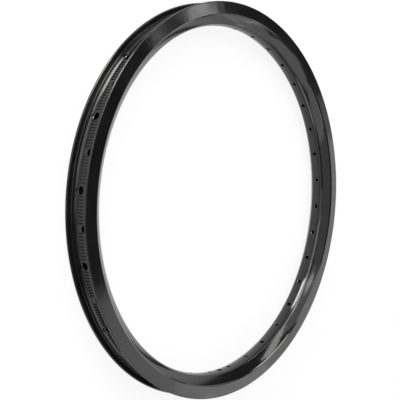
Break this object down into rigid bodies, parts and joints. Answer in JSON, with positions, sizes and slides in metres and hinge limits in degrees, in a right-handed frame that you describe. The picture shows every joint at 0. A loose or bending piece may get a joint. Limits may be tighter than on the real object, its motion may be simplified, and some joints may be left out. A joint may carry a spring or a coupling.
{
  "type": "bicycle rim",
  "caption": "Double-wall bicycle rim for a small wheel: a hollow ring with a tyre channel outside, a drilled spoke bed inside and one valve hole.",
  "frame": {"origin": "the wheel's centre, on the rim's axis and halfway between its sides", "axes": "+Z is the wheel's axis, because a bare rim can't stand and lies flat on its side; +X runs through the valve hole; +Y completes the right-handed frame"},
  "size_m": [0.4189, 0.419, 0.0298],
  "materials": {
    "rim": "gloss black anodised extrusion"
  },
  "bodies": {
    "root": {"rim": "rim"}
  },
  "joints": []
}
